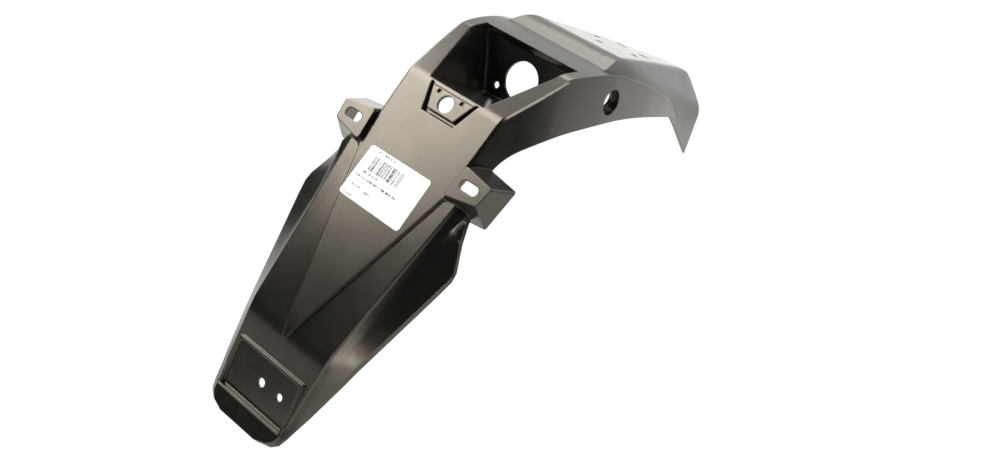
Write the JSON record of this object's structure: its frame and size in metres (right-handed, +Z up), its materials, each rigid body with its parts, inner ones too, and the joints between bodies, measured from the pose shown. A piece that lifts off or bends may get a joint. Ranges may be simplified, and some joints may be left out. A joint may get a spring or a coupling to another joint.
{
  "type": "motorcycle rear fender",
  "caption": "One-piece moulded rear fender with a number-plate face, indicator ears, a recessed tail-lamp seat and a bolt-on deck that runs forward into a pointed arched nose.",
  "frame": {"origin": "centre of the deck's centre hole, at the deck's top face", "axes": "+X to the vehicle's right, +Y forward, +Z up, square to the deck"},
  "size_m": [0.1774, 0.4428, 0.3758],
  "materials": {
    "black_plastic": "moulded black polypropylene with a fine satin grain",
    "label": "white paper sticker with an invented bar pattern"
  },
  "bodies": {
    "root": {"fender": "black_plastic", "label": "label"}
  },
  "joints": []
}
